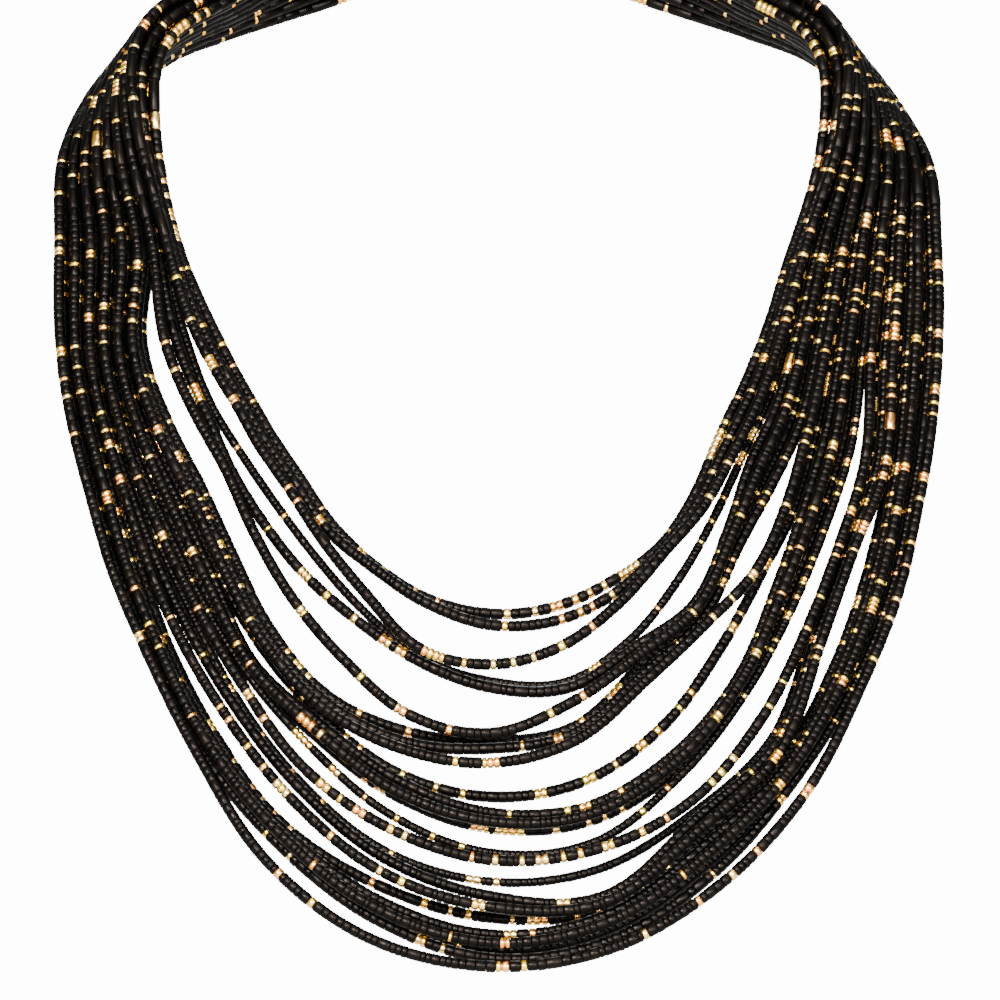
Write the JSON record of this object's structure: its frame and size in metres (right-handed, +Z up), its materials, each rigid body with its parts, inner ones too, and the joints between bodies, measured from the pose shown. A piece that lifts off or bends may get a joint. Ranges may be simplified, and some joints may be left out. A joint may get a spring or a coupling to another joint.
{
  "type": "multi strand necklace",
  "caption": "Necklace of many graduated strands of dark seed beads with scattered gold coloured beads, gathered into one plain clasp behind the neck, held in its worn form.",
  "frame": {"origin": "middle of the clasp's front face, where it rests on the nape of the neck", "axes": "+Z up, -Y towards the viewer of the worn necklace, +X to the viewer's right"},
  "size_m": [0.1708, 0.1291, 0.2127],
  "materials": {
    "beads": "matte black glass seed beads with scattered faceted gold coloured ones",
    "gold_beads": "polished faceted gold and copper coloured beads",
    "thread": "matte dark beading thread",
    "clasp_metal": "satin"
  },
  "bodies": {
    "root": {"clasp": "clasp_metal", "strand_01": "beads", "strand_02": "beads", "strand_03": "beads", "strand_04": "beads", "strand_05": "beads", "strand_06": "beads", "strand_07": "beads", "strand_08": "beads", "strand_09": "beads", "strand_10": "beads", "strand_11": "beads", "strand_12": "beads", "strand_13": "beads", "strand_14": "beads", "strand_15": "beads", "strand_16": "beads", "strand_17": "beads", "strand_18": "beads", "strand_19": "beads", "strand_20": "beads", "strand_21": "beads", "strand_22": "beads", "strand_23": "beads", "strand_24": "beads"}
  },
  "joints": []
}
